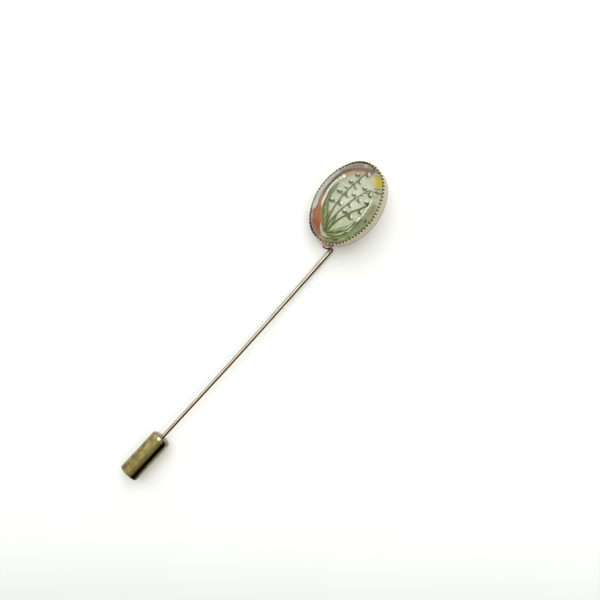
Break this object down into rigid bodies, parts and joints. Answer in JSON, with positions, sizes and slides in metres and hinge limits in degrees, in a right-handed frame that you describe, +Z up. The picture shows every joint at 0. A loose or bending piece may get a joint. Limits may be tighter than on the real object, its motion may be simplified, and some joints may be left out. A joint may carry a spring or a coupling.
{
  "type": "lapel pin",
  "caption": "Stick pin with an oval glass cabochon over a flower picture, a milled cup, a bent wire stem and a barrel clutch on its point.",
  "frame": {"origin": "on the ground, below the middle of the pin's box as it lies", "axes": "+Z up from the ground that the pin lies on, +Y along the clutch's axis towards the head, +X to the side on which the stem lies"},
  "size_m": [0.014, 0.0814, 0.0099],
  "materials": {
    "gilt_metal": "polished, worn gilding",
    "pearly_plate": "pearly",
    "painted_flowers": "enamel paint",
    "clear_glass": "polished",
    "olive_brass": "tarnished",
    "grip_plastic": "matte"
  },
  "bodies": {
    "pin": {"setting_and_stem": "gilt_metal", "backing": "pearly_plate", "painted_sprig": "painted_flowers", "cabochon": "clear_glass"},
    "clutch": {"clutch_barrel": "olive_brass", "clutch_grip": "grip_plastic"}
  },
  "joints": [
    {"name": "clutch_pull", "type": "slide", "parent": "pin", "child": "clutch", "axis": [0, -1, 0], "range_m": [0, 0.03]}
  ]
}
